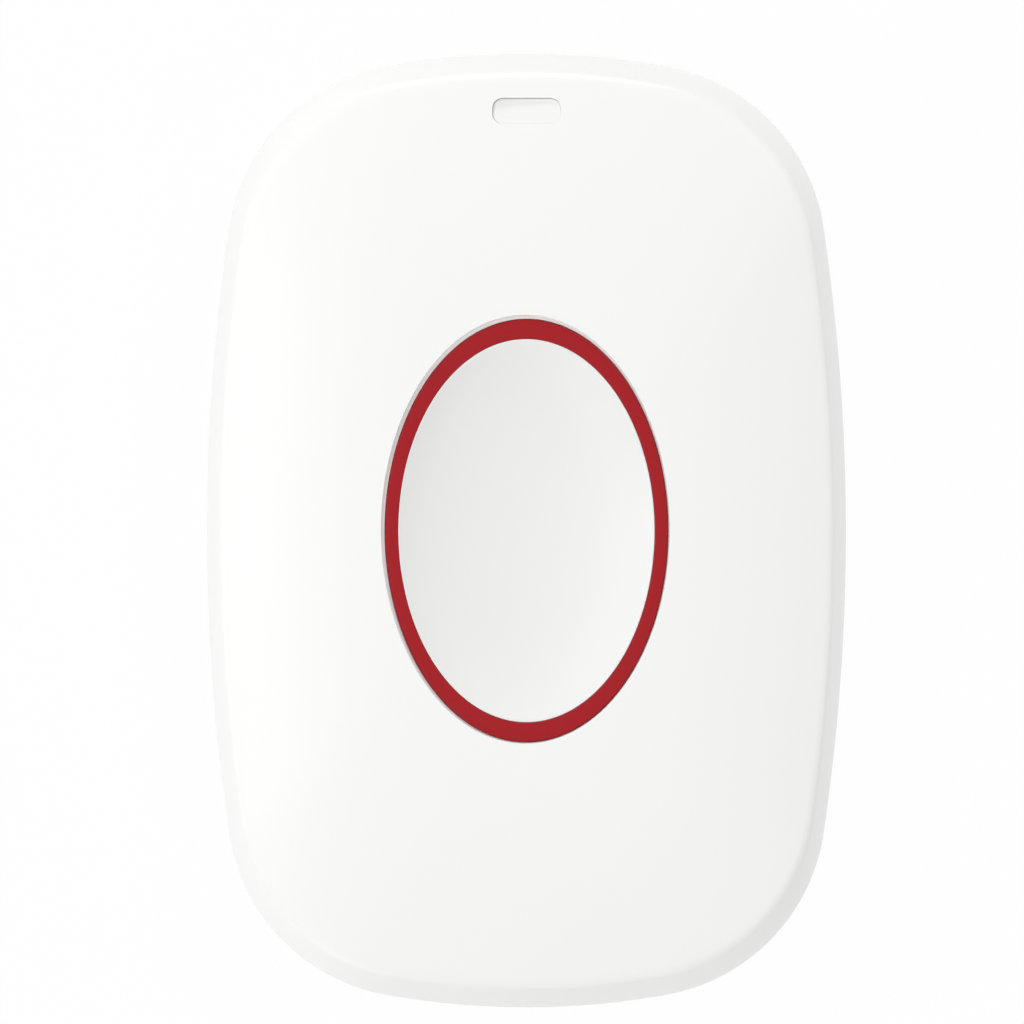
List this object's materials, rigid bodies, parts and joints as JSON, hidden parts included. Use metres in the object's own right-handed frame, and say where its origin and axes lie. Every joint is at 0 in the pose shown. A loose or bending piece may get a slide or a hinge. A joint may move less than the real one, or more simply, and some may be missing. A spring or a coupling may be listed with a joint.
{
  "type": "panic button",
  "caption": "Wireless panic button: crowned white case with a flat back, a sprung oval push button in a red ring and a small lamp window.",
  "frame": {"origin": "centre of the flat back, on the surface that the object lies on or the wall that it is fixed to", "axes": "+Z out of the front face, +Y towards the end with the lamp window, +X to the right seen from the front"},
  "size_m": [0.05, 0.0746, 0.0153],
  "materials": {
    "case_white": "satin",
    "cap_white": "satin",
    "ring_red": "satin",
    "milky_window": "satin",
    "spring_steel": "bright",
    "zinc_steel": "zinc plated",
    "cell_steel": "satin",
    "tinned_metal": "tinned",
    "copper_wire": "lacquered",
    "board_green": "solder mask",
    "black_plastic": "matte",
    "chip_black": "matte",
    "plunger_plastic": "matte",
    "lamp_resin": "clear",
    "capacitor_ceramic": "fired"
  },
  "bodies": {
    "case": {"front_cover": "case_white", "back_cover": "case_white", "button_springs": "spring_steel", "light_pipe": "milky_window", "circuit_board": "board_green", "board_screws": "zinc_steel", "switch_housing": "black_plastic", "switch_dome": "spring_steel", "switch_cover": "spring_steel", "switch_terminals": "tinned_metal", "battery_holder": "black_plastic", "coin_cell": "cell_steel", "battery_positive_clip": "tinned_metal", "battery_negative_contact": "tinned_metal", "status_lamp": "lamp_resin", "radio_chip": "chip_black", "radio_crystal": "cell_steel", "antenna_coil": "copper_wire", "small_capacitors": "capacitor_ceramic", "small_resistors": "chip_black"},
    "button": {"button_cap": "cap_white", "button_ring": "ring_red"},
    "plunger": {"switch_plunger": "plunger_plastic"}
  },
  "joints": [
    {"name": "button_press", "type": "slide", "parent": "case", "child": "button", "axis": [0, 0, -1], "range_m": [0, 0.0006], "stiffness_N_per_m": 4000, "springref_m": -0.00025, "deforming": ["button_springs"]},
    {"name": "plunger_press", "type": "slide", "parent": "case", "child": "plunger", "axis": [0, 0, -1], "range_m": [0, 0.00025], "deforming": ["switch_dome"]}
  ],
  "couplings": [
    {"joint": "plunger_press", "follows": "button_press", "ratio": 0.4166}
  ]
}
